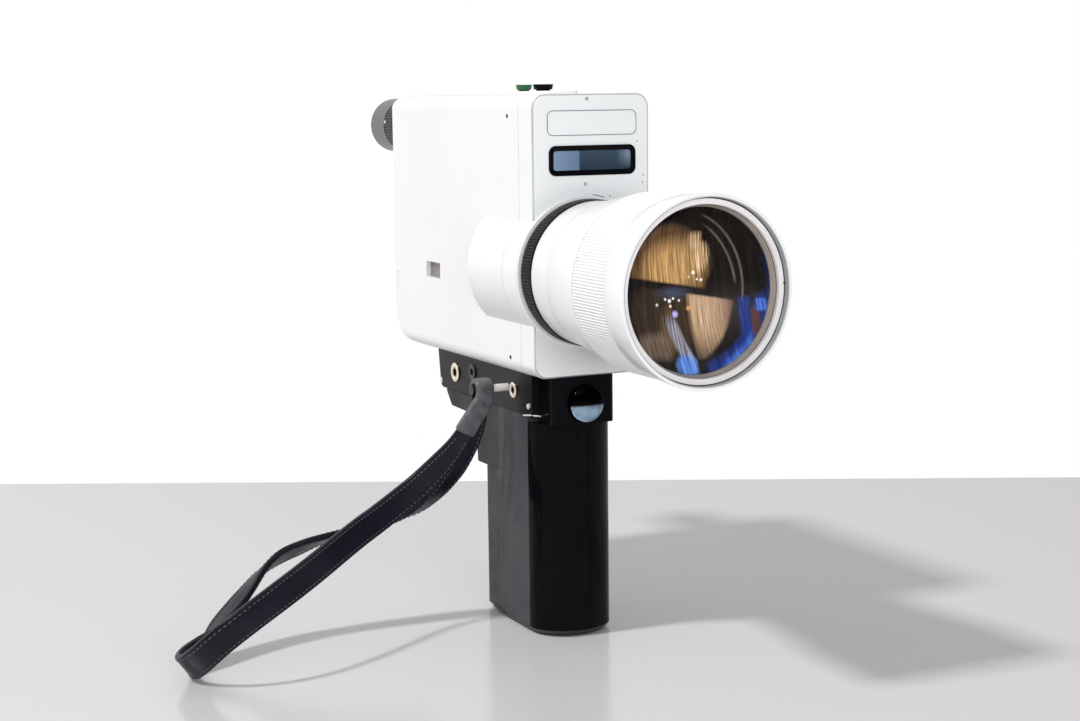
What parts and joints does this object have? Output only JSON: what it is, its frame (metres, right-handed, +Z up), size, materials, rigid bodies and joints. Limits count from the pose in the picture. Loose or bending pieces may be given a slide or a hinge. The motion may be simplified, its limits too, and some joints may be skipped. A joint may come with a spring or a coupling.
{
  "type": "movie camera",
  "caption": "Small-format cine camera: white upright body, large white zoom lens in front, eyepiece at the rear, pistol grip with a wrist strap, opening film door.",
  "frame": {"origin": "centre of the grip base, on the surface the camera stands on", "axes": "+X to the right of somebody facing the lens, +Y to the rear along the lens axis, +Z up"},
  "size_m": [0.2007, 0.2712, 0.2234],
  "materials": {
    "aluminium": "die-cast aluminium",
    "black_gloss": "glossy black plastic",
    "black_leather": "black leather with two rows of stitches",
    "black_metal": "satin black anodised metal",
    "black_plastic": "moulded black plastic, fine grain",
    "black_rubber": "soft black rubber",
    "board_green": "circuit board",
    "brass": "turned brass",
    "cell_jacket": "printed jacket, left plain",
    "clear_glass": "polished optical glass",
    "coated_glass": "coated optical glass, amber and blue reflections",
    "dark_glass": "dark tinted pane",
    "foam_black": "black foam strip",
    "green_plastic": "glossy green plastic",
    "grey_leather": "smooth dark grey leather",
    "grey_metal": "dark grey satin paint",
    "grey_plastic": "moulded grey plastic",
    "grip_grey": "dark grey grained plastic",
    "nickel": "nickel-plated contact",
    "pale_metal": "pale pinkish grey satin metal",
    "steel": "turned steel",
    "white_enamel": "smooth off-white enamel"
  },
  "bodies": {
    "camera": {"base_cap": "black_plastic", "battery_cells": "cell_jacket", "battery_contacts": "nickel", "battery_holder": "grey_plastic", "body_shell": "white_enamel", "cable_release_socket": "brass", "case_screws": "steel", "circuit_board": "board_green", "drive_motor": "steel", "eye_lens": "clear_glass", "eyecup": "black_rubber", "eyepiece_tube": "black_metal", "film_gate": "steel", "finder_prism": "clear_glass", "finder_tube": "black_metal", "front_block": "black_gloss", "front_housing": "white_enamel", "front_jack": "brass", "grip_front": "black_gloss", "grip_shell": "grip_grey", "hinge_knuckles": "white_enamel", "iris_plate": "black_metal", "lens_barrel": "white_enamel", "lens_tube": "black_metal", "light_cell": "black_plastic", "main_frame": "aluminium", "name_plate": "white_enamel", "rear_jack": "brass", "rear_lens": "clear_glass", "release_spring": "steel", "release_switch": "black_plastic", "strap_keeper": "grey_leather", "strap_pin": "steel", "tripod_socket": "brass", "underbody_box": "grey_metal", "window_bezel": "black_gloss", "window_glass": "dark_glass", "wrist_strap": "black_leather"},
    "film_door": {"film_door": "white_enamel", "door_window": "dark_glass", "door_seal": "foam_black"},
    "zoom_ring": {"zoom_ring": "black_metal"},
    "zoom_group": {"zoom_cell": "aluminium", "zoom_lens": "clear_glass"},
    "focus_ring": {"focus_ring": "white_enamel", "focus_screws": "steel", "front_retainer": "pale_metal", "front_lens": "coated_glass"},
    "release_button": {"release_button": "black_gloss"},
    "green_button": {"green_button": "green_plastic"},
    "black_button": {"black_button": "black_gloss"},
    "dioptre_ring": {"dioptre_ring": "black_plastic"},
    "speed_dial": {"speed_dial": "black_plastic"},
    "exposure_dial": {"exposure_dial": "black_plastic"},
    "shutter": {"shutter_disc": "black_metal", "drive_gear": "brass"},
    "motor_shaft": {"motor_pinion": "steel"},
    "takeup": {"takeup_spindle": "black_plastic"},
    "film_claw": {"film_claw": "steel"},
    "lock_screw": {"lock_screw": "steel"}
  },
  "joints": [
    {"name": "film_door_hinge", "type": "hinge", "parent": "camera", "child": "film_door", "pos_m": [-0.02, 0.111, 0.1635], "axis": [0, 0, -1], "range_deg": [0, 90]},
    {"name": "zoom_turn", "type": "hinge", "parent": "camera", "child": "zoom_ring", "pos_m": [0, -0.042, 0.1495], "axis": [0, 1, 0], "range_deg": [-50, 50]},
    {"name": "zoom_group_slide", "type": "slide", "parent": "camera", "child": "zoom_group", "axis": [0, 1, 0], "range_m": [-0.0101, 0.0101]},
    {"name": "focus_turn", "type": "hinge", "parent": "camera", "child": "focus_ring", "pos_m": [0, -0.105, 0.1495], "axis": [0, 1, 0], "range_deg": [0, 200]},
    {"name": "release_press", "type": "slide", "parent": "camera", "child": "release_button", "axis": [0, 1, 0], "range_m": [0, 0.003], "stiffness_N_per_m": 400, "springref_m": -0.001},
    {"name": "green_press", "type": "slide", "parent": "camera", "child": "green_button", "axis": [0, 0, -1], "range_m": [0, 0.0011], "stiffness_N_per_m": 500, "springref_m": -0.0005},
    {"name": "black_press", "type": "slide", "parent": "camera", "child": "black_button", "axis": [0, 0, -1], "range_m": [0, 0.0011], "stiffness_N_per_m": 500, "springref_m": -0.0005},
    {"name": "dioptre_turn", "type": "hinge", "parent": "camera", "child": "dioptre_ring", "pos_m": [-0.009, 0.12, 0.206], "axis": [0, 1, 0], "range_deg": [-60, 60]},
    {"name": "speed_turn", "type": "hinge", "parent": "camera", "child": "speed_dial", "pos_m": [0.033, 0.028, 0.1845], "axis": [1, 0, 0], "range_deg": [-120, 120]},
    {"name": "exposure_turn", "type": "hinge", "parent": "camera", "child": "exposure_dial", "pos_m": [0.033, 0.058, 0.1845], "axis": [1, 0, 0], "range_deg": [-90, 90]},
    {"name": "shutter_spin", "type": "hinge", "parent": "camera", "child": "shutter", "pos_m": [0.005, 0.012, 0.136], "axis": [0, 1, 0], "continuous": true},
    {"name": "motor_spin", "type": "hinge", "parent": "camera", "child": "motor_shaft", "pos_m": [0.0205, 0.03, 0.136], "axis": [0, 1, 0], "continuous": true},
    {"name": "takeup_spin", "type": "hinge", "parent": "camera", "child": "takeup", "pos_m": [0.01, 0.0615, 0.1511], "axis": [1, 0, 0], "continuous": true},
    {"name": "claw_stroke", "type": "slide", "parent": "camera", "child": "film_claw", "axis": [0, 0, 1], "range_m": [-0.0021, 0.0021]},
    {"name": "lock_turn", "type": "hinge", "parent": "camera", "child": "lock_screw", "pos_m": [0, 0.014, 0.002], "axis": [0, 0, 1], "range_deg": [0, 90]}
  ],
  "couplings": [
    {"joint": "zoom_group_slide", "follows": "zoom_turn", "m_per_rad": 0.01146},
    {"joint": "motor_spin", "follows": "shutter_spin", "ratio": -3.4286},
    {"joint": "takeup_spin", "follows": "shutter_spin", "ratio": 0.085714}
  ]
}
